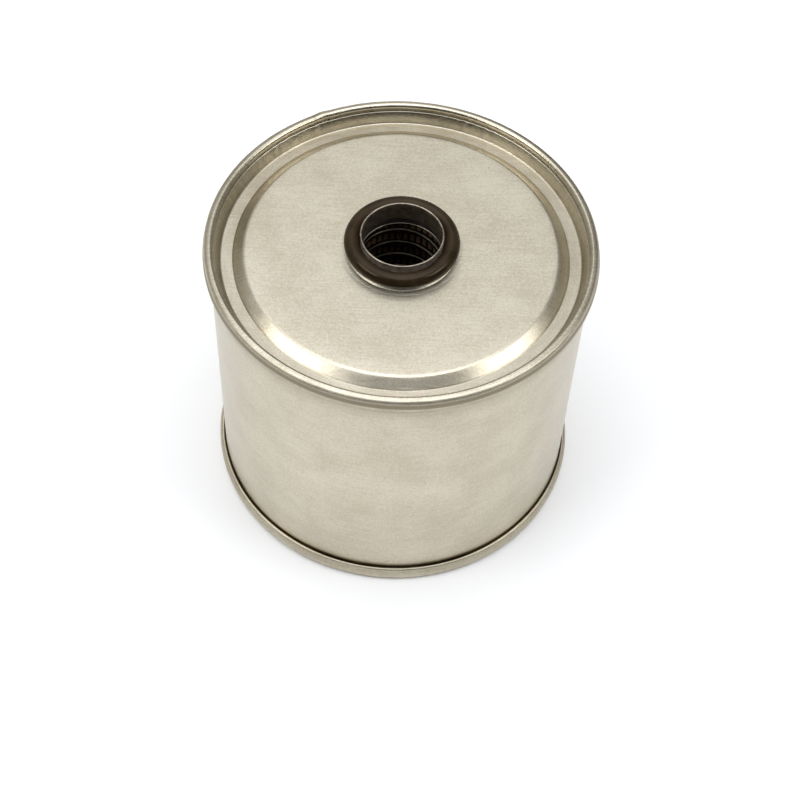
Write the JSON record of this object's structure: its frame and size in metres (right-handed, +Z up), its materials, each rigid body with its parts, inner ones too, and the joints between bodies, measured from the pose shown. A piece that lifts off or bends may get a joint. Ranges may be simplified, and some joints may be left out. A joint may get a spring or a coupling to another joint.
{
  "type": "canned fuel filter cartridge",
  "caption": "Drop-in canned fuel filter: double-seamed tin can with a pleated paper element, inlet holes below and an O-ring sealed outlet neck on top.",
  "frame": {"origin": "middle of the base, on the plane of the bottom seam's lowest ring", "axes": "+Z up along the can's axis towards the outlet neck; +X and +Y are free, as the can is round, with the side weld of the shell towards -X and +Y"},
  "size_m": [0.092, 0.092, 0.08],
  "materials": {
    "tinplate": "satin, faint rolling grain",
    "seal_rubber": "glossy, oiled",
    "gasket_rubber": "matt",
    "compound": "matt lining compound",
    "coil_wire": "drawn wire",
    "spring_steel": "oiled spring wire",
    "filter_paper": "resin-treated filter paper",
    "potting": "cured plastisol"
  },
  "bodies": {
    "can": {"can_body": "tinplate", "top_end": "tinplate", "bottom_end": "tinplate", "top_seam_compound": "compound", "bottom_seam_compound": "compound", "outlet_neck": "tinplate", "neck_seal": "seal_rubber", "element_spring": "spring_steel"},
    "element": {"neck_gasket": "gasket_rubber", "top_end_disc": "tinplate", "top_potting": "potting", "filter_media": "filter_paper", "media_seam_clip": "tinplate", "support_coil": "coil_wire", "bottom_potting": "potting", "bottom_end_disc": "tinplate"}
  },
  "joints": [
    {"name": "element_float", "type": "slide", "parent": "can", "child": "element", "axis": [0, 0, 1], "range_m": [-0.0015, 0], "stiffness_N_per_m": 2000, "springref_m": 0.006, "deforming": ["element_spring"]}
  ]
}
